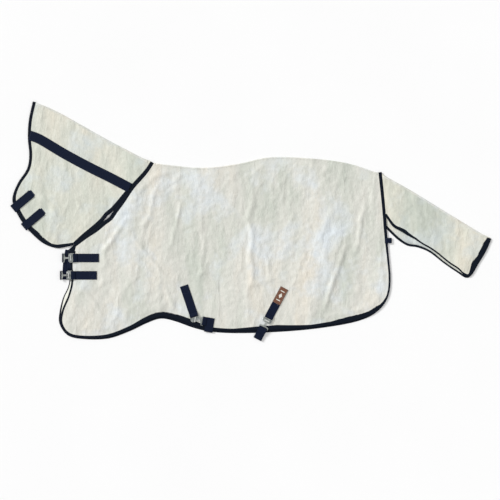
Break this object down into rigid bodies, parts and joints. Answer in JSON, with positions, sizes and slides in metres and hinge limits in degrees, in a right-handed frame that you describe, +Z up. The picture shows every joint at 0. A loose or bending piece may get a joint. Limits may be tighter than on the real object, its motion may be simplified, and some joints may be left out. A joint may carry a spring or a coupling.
{
  "type": "horse fly sheet",
  "caption": "Mesh horse sheet with fixed neck cover and tail flap, laid flat on its side, with bound edges, webbing straps and metal T-hook closures.",
  "frame": {"origin": "middle of the flat-laid sheet's footprint, on the floor", "axes": "+X towards the tail, +Y towards the spine, +Z up off the floor, out of the left side"},
  "size_m": [2.716, 1.354, 0.0135],
  "materials": {
    "mesh": "fine pale polyester mesh, soft sheen",
    "binding": "woven navy edge binding, matt",
    "webbing": "ribbed navy webbing, matt",
    "label": "brown patch, satin",
    "metal": "plated steel, slightly worn"
  },
  "bodies": {
    "root": {"back_seam": "mesh", "left_back_panel": "mesh", "left_chest_facing": "webbing", "left_chest_strap_lower": "webbing", "left_chest_strap_upper": "webbing", "left_front_binding": "binding", "left_neckline_binding": "binding", "left_rear_binding": "binding", "right_body_binding": "binding", "right_body_panel": "mesh", "right_chest_facing": "webbing", "right_chest_strap_lower": "webbing", "right_chest_strap_upper": "webbing", "right_neckline_binding": "binding", "right_surcingle_front": "webbing", "right_surcingle_rear": "webbing", "tail_cord_loop": "webbing"},
    "neck_cover": {"crest_seam": "mesh", "left_neck_band": "webbing", "left_neck_front_binding": "binding", "left_neck_panel": "mesh", "left_neck_rear_binding": "binding", "right_neck_band": "webbing", "right_neck_front_binding": "binding", "right_neck_panel": "mesh", "right_neck_rear_binding": "binding", "throat_base_lower": "webbing", "throat_base_upper": "webbing", "throat_patch_lower": "webbing", "throat_patch_upper": "webbing"},
    "tail_flap": {"left_tail_binding": "binding", "left_tail_panel": "mesh", "right_tail_binding": "binding", "right_tail_panel": "mesh", "tail_seam": "mesh"},
    "left_skirt": {"left_skirt_binding": "binding", "left_skirt_panel": "mesh", "left_surcingle_front": "webbing", "left_surcingle_rear": "webbing", "surcingle_label": "label"},
    "throat_strap_upper": {"throat_strap_upper": "webbing"},
    "throat_strap_lower": {"throat_strap_lower": "webbing"},
    "chest_upper_plate": {"chest_upper_plate": "metal"},
    "chest_upper_hook": {"chest_upper_hook": "metal", "chest_upper_hook_webbing": "webbing"},
    "chest_lower_plate": {"chest_lower_plate": "metal"},
    "chest_lower_hook": {"chest_lower_hook": "metal", "chest_lower_hook_webbing": "webbing"},
    "surcingle_front_plate": {"surcingle_front_plate": "metal"},
    "surcingle_front_hook": {"surcingle_front_hook": "metal", "surcingle_front_hook_webbing": "webbing"},
    "surcingle_rear_plate": {"surcingle_rear_plate": "metal"},
    "surcingle_rear_hook": {"surcingle_rear_hook": "metal", "surcingle_rear_hook_webbing": "webbing"}
  },
  "joints": [
    {"name": "neck_fold", "type": "hinge", "parent": "root", "child": "neck_cover", "pos_m": [-0.77811, 0.09825, 0.0066], "axis": [-0.6889, -0.7249, 0], "range_deg": [-165, 0]},
    {"name": "tail_flap_fold", "type": "hinge", "parent": "root", "child": "tail_flap", "pos_m": [0.75914, 0.05711, 0.0066], "axis": [-0.0811, 0.9967, 0], "range_deg": [-165, 0]},
    {"name": "left_skirt_lift", "type": "hinge", "parent": "root", "child": "left_skirt", "pos_m": [-0.11986, -0.2734, 0.0066], "axis": [-0.9941, -0.1081, 0], "range_deg": [0, 45]},
    {"name": "throat_peel_upper", "type": "hinge", "parent": "neck_cover", "child": "throat_strap_upper", "pos_m": [-1.32323, 0.08473, 0.0088], "axis": [0.6428, -0.766, 0], "range_deg": [0, 170]},
    {"name": "throat_peel_lower", "type": "hinge", "parent": "neck_cover", "child": "throat_strap_lower", "pos_m": [-1.26344, -0.01761, 0.0088], "axis": [0.6428, -0.766, 0], "range_deg": [0, 170]},
    {"name": "chest_upper_flap", "type": "hinge", "parent": "root", "child": "chest_upper_plate", "pos_m": [-0.99851, -0.20656, 0.00995], "axis": [0, 1, 0], "range_deg": [0, 35]},
    {"name": "chest_upper_swivel", "type": "hinge", "parent": "chest_upper_plate", "child": "chest_upper_hook", "pos_m": [-1.01851, -0.20656, 0.00995], "axis": [0, 0, 1], "range_deg": [-12, 12]},
    {"name": "chest_lower_flap", "type": "hinge", "parent": "root", "child": "chest_lower_plate", "pos_m": [-1.01016, -0.30473, 0.00995], "axis": [0, 1, 0], "range_deg": [0, 35]},
    {"name": "chest_lower_swivel", "type": "hinge", "parent": "chest_lower_plate", "child": "chest_lower_hook", "pos_m": [-1.03016, -0.30473, 0.00995], "axis": [0, 0, 1], "range_deg": [-12, 12]},
    {"name": "surcingle_front_flap", "type": "hinge", "parent": "left_skirt", "child": "surcingle_front_plate", "pos_m": [-0.31856, -0.53568, 0.00995], "axis": [-0.9473, -0.3204, 0], "range_deg": [0, 25]},
    {"name": "surcingle_front_swivel", "type": "hinge", "parent": "surcingle_front_plate", "child": "surcingle_front_hook", "pos_m": [-0.31215, -0.55462, 0.00995], "axis": [0, 0, 1], "range_deg": [-12, 12]},
    {"name": "surcingle_rear_flap", "type": "hinge", "parent": "left_skirt", "child": "surcingle_rear_plate", "pos_m": [0.10134, -0.54503, 0.00995], "axis": [-0.8825, 0.4703, 0], "range_deg": [0, 25]},
    {"name": "surcingle_rear_swivel", "type": "hinge", "parent": "surcingle_rear_plate", "child": "surcingle_rear_hook", "pos_m": [0.09193, -0.56268, 0.00995], "axis": [0, 0, 1], "range_deg": [-12, 12]}
  ]
}
